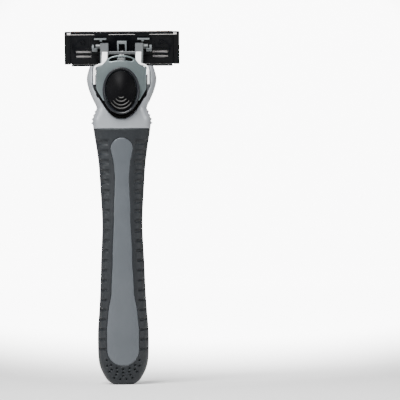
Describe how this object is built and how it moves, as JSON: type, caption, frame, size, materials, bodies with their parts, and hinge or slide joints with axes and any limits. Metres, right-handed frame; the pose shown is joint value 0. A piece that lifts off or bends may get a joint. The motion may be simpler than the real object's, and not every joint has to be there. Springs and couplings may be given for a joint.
{
  "type": "cartridge razor",
  "caption": "Wet-shaving razor: curved two-tone grip with slotted shell, thumb release button, spring-back pivoting blade cartridge with guard and lubricating strip.",
  "frame": {"origin": "middle of the small flat on the butt of the handle, with the razor upright", "axes": "+Z along the handle towards the head, +X across the width, -Y the thumb side with the button, +Y the side the blades face"},
  "size_m": [0.0426, 0.0277, 0.1299],
  "materials": {
    "grey_abs": "satin grey moulded plastic",
    "silver_paint": "silver painted plastic",
    "black_plastic": "glossy black plastic",
    "charcoal_rubber": "matt charcoal rubber",
    "dark_grey_plastic": "dark grey plastic",
    "light_grey_plastic": "light grey satin plastic",
    "blade_steel": "bright ground steel",
    "orange_strip": "waxy orange strip",
    "light_blue_rubber": "soft light blue elastomer",
    "pale_acetal": "pale acetal"
  },
  "bodies": {
    "handle": {"handle_shell": "grey_abs", "inner_core": "black_plastic", "grip_rubber": "charcoal_rubber", "grip_inlay": "light_grey_plastic", "head_cover": "silver_paint", "button_trough": "black_plastic", "plunger_guide": "grey_abs", "button_spring": "blade_steel", "plunger_spring": "blade_steel"},
    "button": {"button_ring": "dark_grey_plastic", "button_dome": "black_plastic", "ejector": "pale_acetal"},
    "plunger": {"plunger": "pale_acetal"},
    "yoke": {"yoke": "silver_paint"},
    "cartridge": {"cartridge_housing": "black_plastic", "back_cover": "black_plastic", "end_cap_left": "black_plastic", "end_cap_right": "black_plastic", "blade_1": "blade_steel", "blade_2": "blade_steel", "blade_3": "blade_steel", "blade_support_1": "blade_steel", "blade_support_2": "blade_steel", "blade_support_3": "blade_steel", "lubricating_strip": "orange_strip", "guard_rubber": "light_blue_rubber", "guard_base": "black_plastic", "bearing_bracket_left": "grey_abs", "bearing_bracket_right": "grey_abs", "cam_bracket": "grey_abs"}
  },
  "joints": [
    {"name": "button_slide", "type": "slide", "parent": "handle", "child": "button", "axis": [0, 0, 1], "range_m": [0, 0.0035], "stiffness_N_per_m": 400, "springref_m": -0.002, "deforming": ["button_spring"]},
    {"name": "plunger_slide", "type": "slide", "parent": "handle", "child": "plunger", "axis": [0, -0.8192, -0.5736], "range_m": [0, 0.0031], "deforming": ["plunger_spring"]},
    {"name": "cartridge_release", "type": "slide", "parent": "handle", "child": "yoke", "axis": [0, 0, 1], "range_m": [0, 0.02]},
    {"name": "cartridge_pivot", "type": "hinge", "parent": "yoke", "child": "cartridge", "pos_m": [0, 0.0118, 0.124], "axis": [-1, 0, 0], "range_deg": [0, 40], "stiffness_Nm_per_rad": 0.003, "springref_deg": -20.05}
  ],
  "couplings": [
    {"joint": "plunger_slide", "follows": "cartridge_pivot", "m_per_rad": 0.0043}
  ]
}
